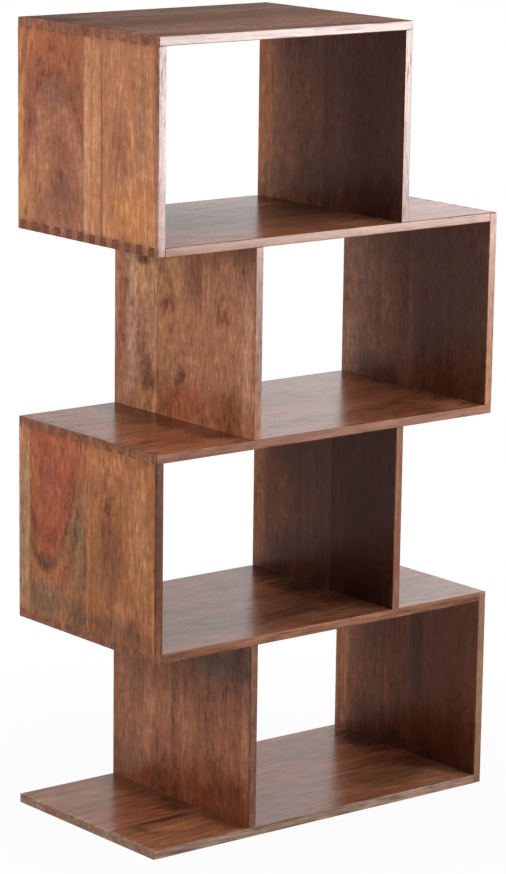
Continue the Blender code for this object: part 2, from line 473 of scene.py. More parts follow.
def mix(tree, share, first, second, blend="MIX"):
    """Two colours mixed by share. The sockets go by number: a Mix node has one set for each kind."""
    inputs = {MIX_SHARE: share, MIX_FIRST: first, MIX_SECOND: second}
    made = add_node(tree, "ShaderNodeMix", inputs, data_type="RGBA", blend_type=blend)
    return made.outputs[MIX_RESULT]


def noise(tree, place, stretch, detail=2.0, roughness=0.5, output="Fac"):
    """Noise from 0 to 1 at a place whose axes are first stretched, in features per metre."""
    scaled = vector_work(tree, "MULTIPLY", place, stretch)
    inputs = {"Vector": scaled, "Scale": 1.0, "Detail": detail, "Roughness": roughness}
    return add_node(tree, "ShaderNodeTexNoise", inputs).outputs[output]


def swing(tree, place, stretch, detail=2.0, roughness=0.5):
    """The same noise about zero, from -0.5 to 0.5."""
    return work(tree, "SUBTRACT", noise(tree, place, stretch, detail, roughness), NOISE_MIDDLE)


list_tools(mix, noise, swing)

# %% [markdown]
# ## Timber as a solid
# A wood picture laid on each face would break at every edge. A real stave is a block cut from a log, so
# its figure is a solid pattern: the growth rings are tubes round the pith, and a flat cut through
# them shows arches, straight lines or arcs by where the pith lies. The shader works with a place in the
# log, two numbers across it and one along it, and the rings follow from the distance to the pith.

# %% Distance to the pith
SLOW_STRAY = dict(stretch=(7.0, 7.0, 2.2), output="Color")
QUICK_STRAY = dict(stretch=(45.0, 45.0, 7.0), output="Color")
QUICK_SHARE = 0.05
ACROSS_LOG = (1.0, 1.0, 0.0)
MIDDLES = (NOISE_MIDDLE, NOISE_MIDDLE, NOISE_MIDDLE)


def ring_distance(tree, given):
    """Distance to the pith in metres, after the rings have strayed by slow and by quick noise."""
    slow = vector_work(tree, "SUBTRACT", noise(tree, given["Place"], **SLOW_STRAY), MIDDLES)
    quick = vector_work(tree, "SUBTRACT", noise(tree, given["Place"], **QUICK_STRAY), MIDDLES)
    both = vector_work(tree, "MULTIPLY_ADD", quick, (QUICK_SHARE, QUICK_SHARE, QUICK_SHARE), slow)
    stray = vector_work(tree, "SCALE", both, Scale=given["Wander"])
    strayed = vector_work(tree, "ADD", given["Place"], stray)
    across = vector_work(tree, "MULTIPLY", strayed, ACROSS_LOG)
    return vector_work(tree, "LENGTH", across, output="Value")


print("rings stray slowly over about", round(1000 / SLOW_STRAY["stretch"][X]), "mm across the log")

# %% Darkness of the rings
RIM_POWER, RIM_FALLS_FROM, RIM_SHARE = 2.0, 0.85, 0.5
BANDS_PER_RING, BAND_DETAIL = 0.4, 3.0
BAND_GAIN, BAND_LEVEL = 1.8, -0.98


def ring_darkness(tree, phase):
    """How dark the rings make the wood, about 0 on average, from the count of rings to the pith.

    Each ring darkens towards its rim by the square of the way across it, more in some rings than in
    others, and broad bands of several rings are darker or paler together.
    """
    inputs = {"W": work(tree, "FLOOR", phase)}
    chance = add_node(tree, "ShaderNodeTexWhiteNoise", inputs, noise_dimensions="1D").outputs["Value"]
    way = work(tree, "FRACT", phase)
    rim = work(tree, "POWER", way, RIM_POWER)
    rim = work(tree, "MULTIPLY", rim, fade(tree, way, 1.0, RIM_FALLS_FROM))
    rim = work(tree, "MULTIPLY", rim, chance)
    inputs = {"W": work(tree, "MULTIPLY", phase, BANDS_PER_RING), "Scale": 1.0, "Detail": BAND_DETAIL}
    broad = add_node(tree, "ShaderNodeTexNoise", inputs, noise_dimensions="1D").outputs["Fac"]
    bands = work(tree, "MULTIPLY_ADD", broad, BAND_GAIN, BAND_LEVEL)
    return work(tree, "MULTIPLY_ADD", rim, RIM_SHARE, bands)


print("a band of darker wood is about", 1 / BANDS_PER_RING, "rings wide")

# %% [markdown]
# ## Fibres, curl and pores
# Between the rings the wood is never even. Fibres draw it out in dashes and hairs along the grain, curl
# ripples across it, and flames follow the rings. Each is a noise with its own stretch. Their sum is a
# shade, and the shade turns the ground colour paler or deeper. Pores are short dark scratches, and a cut
# across the fibres drinks more of the lacquer, so it looks deeper.

# %% Shade of the wood
FLAMES = dict(stretch=(2.5, 0.0, 16.0), detail=3.0, roughness=0.6)
DASHES = dict(stretch=(180.0, 180.0, 42.0), detail=3.0, roughness=0.6)
HAIRS = dict(stretch=(900.0, 900.0, 40.0), roughness=0.6)
CURL = dict(stretch=(28.0, 28.0, 85.0))
PATCHES = dict(stretch=(16.0, 16.0, 5.0), detail=3.0, roughness=0.55)
MOTTLE = dict(stretch=(90.0, 90.0, 60.0), detail=3.0, roughness=0.65)
HAIR_SHARE, PATCH_SHARE, MOTTLE_SHARE = 0.7, 0.9, 0.9


def shade_of(tree, given):
    """Shade of the wood, 0 at its ground colour, and the fibres alone: a weighted sum of noises."""
    place = given["Place"]
    phase = work(tree, "DIVIDE", ring_distance(tree, given), given["Ring width"])
    along = add_node(tree, "ShaderNodeSeparateXYZ", {"Vector": place}).outputs["Z"]
    in_rings = add_node(tree, "ShaderNodeCombineXYZ", {"X": phase, "Z": along}).outputs["Vector"]
    figure = work(tree, "ADD", ring_darkness(tree, phase), swing(tree, in_rings, **FLAMES))
    dashes = swing(tree, place, **DASHES)
    fibre = work(tree, "MULTIPLY_ADD", swing(tree, place, **HAIRS), HAIR_SHARE, dashes)
    shade = work(tree, "MULTIPLY_ADD", figure, given["Figure"], given["Rim"])
    shade = work(tree, "MULTIPLY_ADD", fibre, given["Streak"], shade)
    shade = work(tree, "MULTIPLY_ADD", swing(tree, place, **CURL), given["Ripple"], shade)
    shade = work(tree, "MULTIPLY_ADD", swing(tree, place, **PATCHES), PATCH_SHARE, shade)
    shade = work(tree, "MULTIPLY_ADD", swing(tree, place, **MOTTLE), MOTTLE_SHARE, shade)
    return shade, fibre


print("the hairs of the wood lie about", round(1000 / HAIRS["stretch"][X], 1), "mm apart")

# %% The figured wood group
WOOD_INPUTS = {
    "Place": VECTOR, "Ground": COLOUR, "Ring width": NUMBER, "Wander": NUMBER, "Figure": NUMBER,
    "Streak": NUMBER, "Ripple": NUMBER, "Rim": NUMBER, "End grain": NUMBER,
}
WOOD_OUTPUTS = {"Colour": COLOUR, "Pores": NUMBER, "Relief": NUMBER}
PORES = dict(stretch=(750.0, 750.0, 34.0), detail=1.0)
PORE_STEP = (0.60, 0.72)
PORE_DARKNESS, END_DARKNESS = 0.33, 0.2
PALE_SHADE, DEEP_SHADE = -0.48, 0.60
PALER = (1.50, 1.66, 1.80, 1.0)
DEEPER = (0.46, 0.41, 0.41, 1.0)


def make_figured_wood():
    """The node group that turns a place in the log into colour, pores and relief."""
    tree, given, made = open_group("figured_wood", WOOD_INPUTS, WOOD_OUTPUTS)
    shade, fibre = shade_of(tree, given)
    pale = mix(tree, 1.0, given["Ground"], PALER, "MULTIPLY")
    deep = mix(tree, 1.0, given["Ground"], DEEPER, "MULTIPLY")
    colour = mix(tree, fade(tree, shade, PALE_SHADE, 0.0), pale, given["Ground"])
    colour = mix(tree, fade(tree, shade, 0.0, DEEP_SHADE), colour, deep)
    pores = fade(tree, noise(tree, given["Place"], **PORES), *PORE_STEP)
    colour = mix(tree, work(tree, "MULTIPLY", pores, PORE_DARKNESS), colour, deep)
    colour = mix(tree, work(tree, "MULTIPLY", given["End grain"], END_DARKNESS), colour, deep)
    tree.links.new(colour, made["Colour"])
    tree.links.new(pores, made["Pores"])
    tree.links.new(work(tree, "SUBTRACT", fibre, pores), made["Relief"])
    return tree


figured_wood = make_figured_wood()
print("figured_wood:", len(figured_wood.nodes), "nodes")

# %% [markdown]
# ## Heartwood, stains, painted light and knots
# The middle of a log is redder than its rim. Minerals and old wounds tint it in soft patches, and a branch
# leaves a knot that the grain flows round. All could be painted by hand, but a painted map would fit one
# face only. Here they are solid too. Heartwood lies within a radius of the pith. A stain blends the ground
# colour inside a soft ellipsoid, and the same soft patch also paints shade and light onto the wood. A knot
# works as a lens: near its axis the grain is read closer to the axis than it lies, which spreads the fibres
# apart, and its core is dark.

# %% Heartwood group
HEART_INPUTS = {
    "Ground": COLOUR, "Place": VECTOR, "Wander": NUMBER, "Tint": COLOUR, "Radius": NUMBER, "Edge": NUMBER,
}
HEART_OUTPUTS = {"Ground": COLOUR, "Rim": NUMBER}


def make_heartwood():
    """Ground colour turned to a tint within a radius of the pith, and how near the radius is."""
    tree, given, made = open_group("heartwood", HEART_INPUTS, HEART_OUTPUTS)
    inside = work(tree, "SUBTRACT", given["Radius"], ring_distance(tree, given))
    share = fade(tree, inside, 0.0, given["Edge"])
    tree.links.new(mix(tree, share, given["Ground"], given["Tint"]), made["Ground"])
    from_rim = work(tree, "ABSOLUTE", inside)
    tree.links.new(fade(tree, from_rim, given["Edge"], 0.0), made["Rim"])
    return tree


heart_group = make_heartwood()
print("heartwood:", len(heart_group.nodes), "nodes")

# %% Stain and painted light group
PATCH_INPUTS = {"Ground": COLOUR, "Place": VECTOR, "Middle": VECTOR, "Size": VECTOR}
STAIN_OR_LIGHT_INPUTS = {**PATCH_INPUTS, "Ragged": VECTOR, "Tint": COLOUR, "Share": NUMBER}
STAIN_OR_LIGHT_FADE = (1.1, 0.3)
RAGGED = dict(detail=3.0, roughness=0.6)


def reach_of(tree, given):
    """Way from the middle of a patch, and its length where the patch's half sizes count as one."""
    offset = vector_work(tree, "SUBTRACT", given["Place"], given["Middle"])
    reach = vector_work(tree, "DIVIDE", offset, given["Size"])
    return offset, vector_work(tree, "LENGTH", reach, output="Value")


def make_stain_or_painted_light():
    """Ground colour blended towards a tint by a smooth step of the ragged distance from its middle."""
    tree, given, made = open_group("add_stains_or_painted_light", STAIN_OR_LIGHT_INPUTS, {"Ground": COLOUR})
    _, distance = reach_of(tree, given)
    ragged = swing(tree, given["Place"], given["Ragged"], **RAGGED)
    distance = work(tree, "ADD", ragged, distance)
    share = work(tree, "MULTIPLY", fade(tree, distance, *STAIN_OR_LIGHT_FADE), given["Share"])
    tree.links.new(mix(tree, share, given["Ground"], given["Tint"]), made["Ground"])
    return tree


stain_or_painted_light_group = make_stain_or_painted_light()
print("stain:", len(stain_or_painted_light_group.nodes), "nodes")

# %% Knot group
KNOT_INPUTS = {**PATCH_INPUTS, "Sideways": VECTOR}
KNOT_OUTPUTS = {"Ground": COLOUR, "Place": VECTOR}
KNOT_LENS, KNOT_FLOW = 0.8, 3.0
KNOT_BARK = dict(stretch=(110.0, 110.0, 110.0))
BARK_SHARE, CORE_REACH, CORE_SHARE = 2.4, 1.4, 0.9
KNOT_DARK = (0.46, 0.33, 0.27, 1.0)


def make_knot():
    """Place drawn towards the knot's axis by a bell of the distance, and ground darkened at its core.

    The bell is e to the power of minus the square of the distance, counted in knots' reaches.
    """
    tree, given, made = open_group("knot", KNOT_INPUTS, KNOT_OUTPUTS)
    offset, distance = reach_of(tree, given)
    flow = work(tree, "DIVIDE", distance, KNOT_FLOW)
    bell = work(tree, "EXPONENT", work(tree, "MULTIPLY", work(tree, "POWER", flow, 2.0), -1.0))
    sideways = vector_work(tree, "MULTIPLY", offset, given["Sideways"])
    pull = vector_work(tree, "SCALE", sideways, Scale=work(tree, "MULTIPLY", bell, KNOT_LENS))
    tree.links.new(vector_work(tree, "SUBTRACT", given["Place"], pull), made["Place"])
    ragged = work(tree, "MULTIPLY_ADD", swing(tree, given["Place"], **KNOT_BARK), BARK_SHARE, distance)
    core = work(tree, "MULTIPLY", fade(tree, ragged, CORE_REACH, 0.0), CORE_SHARE)
    dark = mix(tree, 1.0, given["Ground"], KNOT_DARK, "MULTIPLY")
    tree.links.new(mix(tree, core, given["Ground"], dark), made["Ground"])
    return tree


knot_group = make_knot()
print("knot:", len(knot_group.nodes), "nodes")

# %% [markdown]
# ## Where each stave lay in its log
# The figure of a stave is settled by its log: where the pith passes, and how far it leans from the grain.
# A pith behind the face gives arches, which point the way the pith leans away. A pith far out to the side
# gives straight lines. The showy staves are described one by one, and the quiet ones are drawn at random.

# %% A log


@dataclass
class Log:
    """A stave's timber. Lengths are in metres.

    pith is a point on the log's middle line, and lean the slope of that line against the grain. ring is
    the width of a growth ring, and wander how far the rings stray. figure, streak and ripple are the
    strength of the rings, of the fibres and of the curl. heart is the radius of the redder heartwood,
    edge the width over which it begins, and rim the darkness of the line around it.
    """

    pith: tuple
    lean: float
    ring: float = 0.008
    wander: float = 0.020
    figure: float = 0.55
    streak: float = 1.25
    ripple: float = 0.40
    heart: float = 0.0
    edge: float = 0.002
    rim: float = 0.0


print("a growth ring is", 1000 * Log.ring, "mm wide where nothing else is said")

# %% Quiet logs
LOG_GAP = 0.9
QUIET_RADII, QUIET_ASIDE = (0.03, 0.16), 0.12
QUIET_LEAN, QUIET_RINGS = 0.02, (0.006, 0.010)
TIMBER_SEED = 5
timber = np.random.default_rng(TIMBER_SEED)


def quiet_log(node):
    """A log with its pith at random, behind the face or out to the side, in a stretch of its own."""
    low, high = corners_of(node)
    along, across, through = directions(node)
    pith = (low + high) / 2
    pith[through] += timber.uniform(*QUIET_RADII) * timber.choice((-1, 1))
    pith[across] += timber.uniform(-QUIET_ASIDE, QUIET_ASIDE)
    pith[along] += LOG_GAP * STAVES.index(node)
    return Log(tuple(pith), timber.uniform(-QUIET_LEAN, QUIET_LEAN), timber.uniform(*QUIET_RINGS))


logs = {node: quiet_log(node) for node in STAVES}
print(len(logs), "quiet logs")

# %% Logs of the showy staves


def arch(node, from_back, height, radius, lean, **more):
    """A log whose ring of that radius just touches the stave's left face, at the tip of an arch."""
    left = corners_of(node)[0][X]
    return Log(pith=(left + radius, BACK - from_back, height), lean=lean, **more)


SHOWY = {
    "top_left_wall_back_stave": dict(
        from_back=0.112, height=1.305, radius=0.30, lean=0.107, ring=0.0035, wander=0.010, figure=0.5,
        heart=0.30, edge=0.005,
    ),
    "top_left_wall_middle_stave": dict(
        from_back=0.36, height=1.2, radius=0.03, lean=0.01, ring=0.010, wander=0.008
    ),
    "top_left_wall_front_stave": dict(
        from_back=0.31, height=1.16, radius=0.10, lean=0.03, ring=0.004, wander=0.008
    ),
    "lower_left_wall_back_stave": dict(from_back=0.25, height=0.5, radius=0.02, lean=0.01),
    "lower_left_wall_middle_stave": dict(
        from_back=0.084, height=0.466, radius=0.25, lean=-0.095, ring=0.004, wander=0.006, figure=0.5,
        heart=0.25, edge=0.0017, rim=0.26,
    ),
    "lower_left_wall_front_stave": dict(
        from_back=0.30, height=0.60, radius=0.09, lean=0.03, ring=0.004, wander=0.010
    ),
    "upper_left_wall_back_stave": dict(
        from_back=0.05, height=0.95, radius=0.12, lean=0.04, ring=0.006, ripple=0.6
    ),
}
logs.update({node: arch(node, **facts) for node, facts in SHOWY.items()})
print(len(SHOWY), "of them give way to showy ones")

# %% Panels with stronger or weaker fibres
STREAKS = {
    "base_board": 1.9,
    "lower_shelf": 1.9,
    "middle_shelf": 1.6,
    "upper_shelf": 1.6,
    "upper_left_wall": 1.6,
    "lower_left_wall": 1.4,
    "top_left_wall": 1.0,
}
for panel, streak in STREAKS.items():
    for place in STAVE_PLACES:
        logs[f"{panel}_{place}_stave"].streak = streak
print(len(STREAKS), "panels differ in their fibres")

# %% [markdown]
# ## Ground colours
# A tree is not one colour, and a maker who glues up panels mixes several. Four tones cover the case, and
# most staves shift a little from their tone. The lower right wall's staves are also set partly darker, as
# painted shade of its inner face. Colours are written as a paint chart would, from 0 to 255, and turned to
# the linear values that a shader reckons with. Two staves also show red heartwood.

# %% Colour chart
CHART_STEPS = 255
CURVE_START, CURVE_SLOPE, CURVE_LIFT, CURVE_POWER = 0.04045, 12.92, 0.055, 2.4


def chart(red, green, blue):
    """A colour of the chart as the linear values that a shader takes, by the screen's own curve.

    The curve is a straight line for the darkest shares, and a power of the lifted share above them.
    """
    share = np.array((red, green, blue)) / CHART_STEPS
    curved = ((share + CURVE_LIFT) / (1 + CURVE_LIFT)) ** CURVE_POWER
    linear = np.where(share <= CURVE_START, share / CURVE_SLOPE, curved)
    return (*linear.tolist(), 1.0)


GROUND_COLOURS = {
    "amber": (172, 114, 79),
    "russet": (150, 90, 62),
    "walnut": (142, 90, 64),
    "umber": (112, 71, 54),
}
HEART_COLOURS = {
    "top_left_wall_back_stave": (147, 93, 68),
    "lower_left_wall_middle_stave": (154, 80, 50),
}
print(len(GROUND_COLOURS), "tones, and", len(HEART_COLOURS), "staves with heartwood")

# %% Staves that differ from their tone, one wall partly darkened as painted shade
OWN_GROUNDS_AND_SHADE = {
    "base_board": {"front": (145, 92, 64)},
    "lower_shelf": {"back": (130, 82, 58), "middle": (148, 93, 65)},
    "middle_shelf": {"front": (150, 91, 63)},
    "upper_shelf": {"back": (133, 84, 59)},
    "top_board": {"back": (119, 83, 65), "middle": (119, 76, 55), "front": (133, 91, 72)},
    "bottom_left_wall": {"middle": (154, 97, 67), "front": (150, 94, 65)},
    "bottom_right_wall": {"back": (132, 82, 56), "middle": (154, 90, 55), "front": (148, 85, 54)},
    "lower_left_wall": {"middle": (146, 88, 54), "front": (151, 93, 56)},
    # partly painted shade: these grounds are darker for the shade on the wall's inner face
    "lower_right_wall": {"back": (106, 63, 44), "middle": (119, 76, 53), "front": (97, 50, 31)},
    "upper_left_wall": {"back": (155, 104, 76), "middle": (157, 102, 70), "front": (164, 108, 77)},
    "upper_right_wall": {"back": (125, 87, 71), "middle": (129, 87, 69), "front": (132, 88, 70)},
    "top_right_wall": {"back": (126, 84, 67), "middle": (128, 82, 67), "front": (121, 76, 61)},
}
grounds_and_shade = {node: GROUND_COLOURS[tone] for node, tone in TONE_OF.items()}
for panel, colours in OWN_GROUNDS_AND_SHADE.items():
    grounds_and_shade.update({f"{panel}_{place}_stave": colour for place, colour in colours.items()})
print(sum(map(len, OWN_GROUNDS_AND_SHADE.values())), "staves have a ground of their own")

# %% [markdown]
# ## Stains, painted shade and painted light of the panels
# Each patch is placed as a maker would point at it: so far in from the back of the case, so far along the
# grain, so wide and so long. The walls that stand in the light carry nearly half of them. Many patches are
# no stain of the wood but painted shade and painted light. The dark ones around the feet of the walls, in
# the back corners of the shelves and beside the walls under the overhanging cubes are painted shade, and a
# dark line down the front edge of the top left wall's side is a painted shadow. The pale ones along the
# back edges of the right walls, at the top of the upper left wall and in the front corners of the shelves
# are painted light.

# %% A stain
STAINS_AND_PAINTED_LIGHT = {node: [] for node in STAVES}


@dataclass
class StainOrPaintedLight:
    """A soft patch: its middle and half size across and along the stave, in metres, and its tint.

    The tint is a colour of the chart, and the share says how much of it covers the ground. Some patches are
    stains of the wood, and others are painted shade or painted light.
    """

    from_back: float
    along: float
    half_across: float
    half_along: float
    tint: tuple
    share: float = 0.7


def add_stains_or_painted_light(stave, *patches):
    """Add patches to a stave, given by panel and place. The later ones lie over the earlier ones."""
    STAINS_AND_PAINTED_LIGHT[f"{stave}_stave"] += patches


def stains_and_painted_light_so_far():
    """How many stains and patches of painted shade and light there are by now."""
    return sum(map(len, STAINS_AND_PAINTED_LIGHT.values()))


print(stains_and_painted_light_so_far(), "stains to begin with")

# %% Stains, painted shade and painted light of the top cube
add_stains_or_painted_light(
    "top_left_wall_back",
    StainOrPaintedLight(0.080, 1.355, 0.080, 0.045, (166, 96, 60), 0.6),
    StainOrPaintedLight(0.115, 1.280, 0.070, 0.035, (118, 74, 60), 0.6),
    StainOrPaintedLight(0.045, 1.220, 0.020, 0.060, (122, 76, 62), 0.6),
    StainOrPaintedLight(0.130, 1.105, 0.050, 0.065, (120, 75, 56), 0.8),
    StainOrPaintedLight(0.065, 1.140, 0.035, 0.060, (172, 116, 82), 0.6),
    StainOrPaintedLight(0.006, 1.220, 0.020, 0.220, (190, 134, 82)),
    StainOrPaintedLight(0.025, 1.090, 0.040, 0.070, (178, 124, 80)),
)
add_stains_or_painted_light("top_left_wall_middle", StainOrPaintedLight(0.200, 1.210, 0.014, 0.400, (200, 144, 106), 0.6))
add_stains_or_painted_light(
    "top_left_wall_front",
    StainOrPaintedLight(0.242, 1.210, 0.005, 0.500, (128, 80, 56), 0.9),
    # painted shadow: a dark line down the front edge of the wall's side
    StainOrPaintedLight(0.394, 1.210, 0.010, 0.400, (142, 90, 72), 0.6),
    StainOrPaintedLight(0.330, 1.100, 0.090, 0.070, (186, 120, 70)),
    StainOrPaintedLight(0.355, 1.260, 0.012, 0.100, (134, 98, 76)),
    StainOrPaintedLight(0.300, 1.205, 0.030, 0.080, (146, 90, 66), 0.8),
)
add_stains_or_painted_light(
    "top_right_wall_back",
    # painted light along the back edge of the inner face, then painted shade at its foot
    StainOrPaintedLight(0.010, 1.220, 0.040, 0.600, (162, 104, 68)),
    StainOrPaintedLight(0.160, 1.090, 0.080, 0.070, (100, 64, 52), 0.6),
    StainOrPaintedLight(0.080, 1.054, 0.110, 0.085, (98, 62, 48)),
)
# painted shade at the feet of these two staves' inner faces
add_stains_or_painted_light("top_right_wall_middle", StainOrPaintedLight(0.220, 1.090, 0.080, 0.070, (92, 56, 46), 0.5))
add_stains_or_painted_light("top_right_wall_front", StainOrPaintedLight(0.330, 1.080, 0.150, 0.060, (88, 54, 44), 0.5))
add_stains_or_painted_light("top_board_back", StainOrPaintedLight(0.090, -0.350, 0.100, 0.070, (74, 40, 28)))
# painted shade in the back corner beside the right wall
add_stains_or_painted_light("upper_shelf_back", StainOrPaintedLight(0.070, 0.145, 0.080, 0.060, (60, 36, 26), 0.9))
add_stains_or_painted_light(
    "upper_shelf_middle",
    StainOrPaintedLight(0.215, -0.120, 0.030, 0.030, (78, 52, 42)),
    # painted shade beside the right wall
    StainOrPaintedLight(0.160, 0.115, 0.080, 0.060, (70, 42, 30)),
)
# painted light in the front corner beside the right wall
add_stains_or_painted_light("upper_shelf_front", StainOrPaintedLight(0.340, 0.080, 0.060, 0.060, (178, 114, 80)))
print(stains_and_painted_light_so_far(), "stains after the top cube")

# %% Stains, painted shade and painted light of the upper cube
add_stains_or_painted_light(
    "upper_left_wall_back",
    StainOrPaintedLight(0.018, 0.880, 0.020, 0.200, (148, 90, 68)),
    StainOrPaintedLight(0.052, 0.880, 0.020, 0.160, (186, 142, 116)),
    # painted light at the top of the wall, under the overhanging top cube
    StainOrPaintedLight(0.100, 0.955, 0.060, 0.050, (188, 136, 94)),
    StainOrPaintedLight(0.082, 0.976, 0.024, 0.012, (106, 62, 48), 0.9),
    StainOrPaintedLight(0.095, 0.734, 0.040, 0.020, (170, 120, 74), 0.6),
)
add_stains_or_painted_light(
    "upper_left_wall_middle",
    # painted light at the top of the wall
    StainOrPaintedLight(0.160, 0.970, 0.070, 0.060, (186, 132, 90)),
    StainOrPaintedLight(0.142, 0.840, 0.020, 0.060, (172, 120, 76), 0.5),
    StainOrPaintedLight(0.240, 0.950, 0.040, 0.050, (132, 80, 60), 0.8),
    # painted shade at the foot of the wall
    StainOrPaintedLight(0.200, 0.735, 0.120, 0.060, (136, 72, 46), 0.8),
)
add_stains_or_painted_light(
    "upper_left_wall_front",
    # painted shade at the foot of the wall, then painted light at its top
    StainOrPaintedLight(0.340, 0.735, 0.140, 0.060, (132, 74, 48), 0.8),
    StainOrPaintedLight(0.320, 0.990, 0.080, 0.050, (182, 124, 92)),
    StainOrPaintedLight(0.380, 0.880, 0.026, 0.250, (184, 130, 102)),
)
add_stains_or_painted_light(
    "upper_right_wall_back",
    # painted light along the back edge of the inner face, then painted shade at its foot
    StainOrPaintedLight(0.010, 0.873, 0.035, 0.600, (152, 106, 80), 0.5),
    StainOrPaintedLight(0.100, 0.708, 0.110, 0.055, (80, 54, 44), 0.8),
)
# painted shade at the foot of the inner face
add_stains_or_painted_light("upper_right_wall_middle", StainOrPaintedLight(0.130, 0.708, 0.060, 0.050, (80, 54, 44), 0.8))
add_stains_or_painted_light(
    "middle_shelf_back",
    # painted shade beside the left wall under the top cube, then in the back corner by the right wall
    StainOrPaintedLight(0.070, -0.190, 0.200, 0.050, (78, 44, 30), 0.8),
    StainOrPaintedLight(0.070, 0.350, 0.090, 0.060, (90, 54, 38)),
)
add_stains_or_painted_light(
    "middle_shelf_middle",
    # painted shade beside the left wall and by the right wall
    StainOrPaintedLight(0.190, -0.190, 0.200, 0.050, (96, 56, 38)),
    StainOrPaintedLight(0.155, -0.215, 0.050, 0.070, (80, 46, 32)),
    StainOrPaintedLight(0.150, 0.359, 0.060, 0.035, (96, 58, 40)),
    # painted light in the front corner by the right wall
    StainOrPaintedLight(0.235, 0.290, 0.040, 0.050, (182, 118, 82)),
)
add_stains_or_painted_light(
    "middle_shelf_front",
    # painted shade beside the left wall under the top cube
    StainOrPaintedLight(0.320, -0.190, 0.200, 0.040, (96, 56, 38)),
    StainOrPaintedLight(0.285, -0.295, 0.045, 0.060, (158, 78, 46)),
    # painted light in the front corners beside the walls
    StainOrPaintedLight(0.370, -0.212, 0.030, 0.045, (176, 112, 78), 0.6),
    StainOrPaintedLight(0.340, 0.310, 0.090, 0.060, (196, 128, 90), 0.8),
)
print(stains_and_painted_light_so_far(), "stains after the upper cube")

# %% Stains, painted shade and painted light of the lower cube
add_stains_or_painted_light("lower_left_wall_back", StainOrPaintedLight(0.015, 0.520, 0.050, 0.200, (148, 114, 84)))
add_stains_or_painted_light(
    "lower_left_wall_middle",
    StainOrPaintedLight(0.100, 0.610, 0.050, 0.055, (138, 72, 52)),
    StainOrPaintedLight(0.050, 0.640, 0.020, 0.060, (172, 102, 64), 0.6),
    StainOrPaintedLight(0.190, 0.660, 0.050, 0.040, (154, 86, 56)),
    StainOrPaintedLight(0.180, 0.510, 0.042, 0.110, (122, 88, 60), 0.8),
    StainOrPaintedLight(0.075, 0.390, 0.100, 0.050, (124, 90, 64), 0.8),
    StainOrPaintedLight(0.180, 0.380, 0.060, 0.045, (106, 72, 48), 0.8),
    StainOrPaintedLight(0.080, 0.464, 0.042, 0.020, (98, 58, 40), 0.6),
    StainOrPaintedLight(0.048, 0.510, 0.012, 0.055, (110, 64, 42), 0.6),
)
add_stains_or_painted_light(
    "lower_left_wall_front",
    StainOrPaintedLight(0.270, 0.500, 0.050, 0.100, (122, 72, 44), 0.8),
    StainOrPaintedLight(0.355, 0.560, 0.035, 0.140, (172, 116, 72)),
    # painted shade at the foot of the wall
    StainOrPaintedLight(0.300, 0.380, 0.130, 0.035, (112, 68, 44), 0.8),
    StainOrPaintedLight(0.260, 0.665, 0.070, 0.045, (178, 114, 74)),
)
add_stains_or_painted_light(
    "lower_right_wall_back",
    # painted light along the back edge of the inner face, then painted shade at its foot
    StainOrPaintedLight(0.010, 0.527, 0.035, 0.600, (150, 98, 68), 0.6),
    StainOrPaintedLight(0.110, 0.400, 0.080, 0.070, (70, 40, 30)),
    StainOrPaintedLight(0.070, 0.362, 0.100, 0.032, (60, 34, 26), 0.8),
)
add_stains_or_painted_light(
    "lower_right_wall_middle",
    # painted shade at the foot of the inner face
    StainOrPaintedLight(0.180, 0.400, 0.120, 0.080, (66, 40, 30), 0.6),
    StainOrPaintedLight(0.160, 0.362, 0.060, 0.060, (56, 32, 24), 0.5),
)
# painted shade at the foot of the inner face
add_stains_or_painted_light("lower_right_wall_front", StainOrPaintedLight(0.300, 0.400, 0.200, 0.070, (60, 34, 24), 0.6))
# painted shade in the back corner beside the right wall
add_stains_or_painted_light("lower_shelf_back", StainOrPaintedLight(0.060, 0.140, 0.080, 0.070, (56, 34, 24), 0.9))
add_stains_or_painted_light("lower_shelf_middle", StainOrPaintedLight(0.170, 0.125, 0.090, 0.065, (60, 36, 26), 0.8))
add_stains_or_painted_light(
    "lower_shelf_front",
    # painted light in the front corner beside the right wall
    StainOrPaintedLight(0.320, 0.090, 0.040, 0.060, (178, 112, 76)),
    StainOrPaintedLight(0.390, 0.050, 0.022, 0.120, (104, 64, 44), 0.6),
)
print(stains_and_painted_light_so_far(), "stains after the lower cube")

# %% Stains, painted shade and painted light of the bottom cube
# painted shade along the foot of the wall
add_stains_or_painted_light("bottom_left_wall_back", StainOrPaintedLight(0.050, 0.020, 0.200, 0.075, (112, 62, 42), 0.5))
add_stains_or_painted_light(
    "bottom_left_wall_middle",
    # painted shade along the foot of the wall
    StainOrPaintedLight(0.135, 0.020, 0.200, 0.085, (112, 58, 36), 0.9),
    StainOrPaintedLight(0.150, 0.180, 0.060, 0.050, (168, 112, 78)),
)
add_stains_or_painted_light(
    "bottom_left_wall_front",
    StainOrPaintedLight(0.310, 0.310, 0.120, 0.060, (132, 100, 82)),
    StainOrPaintedLight(0.210, 0.170, 0.060, 0.050, (164, 108, 74)),
    # painted shade along the foot of the wall
    StainOrPaintedLight(0.330, 0.020, 0.400, 0.100, (112, 58, 36), 0.9),
)
add_stains_or_painted_light(
    "bottom_right_wall_back",
    # painted light along the back edge of the inner face, then painted shade at its foot
    StainOrPaintedLight(0.010, 0.181, 0.035, 0.600, (166, 108, 74)),
    StainOrPaintedLight(0.110, 0.040, 0.080, 0.090, (80, 46, 34), 0.8),
    StainOrPaintedLight(0.080, 0.016, 0.080, 0.030, (70, 40, 30), 0.6),
)
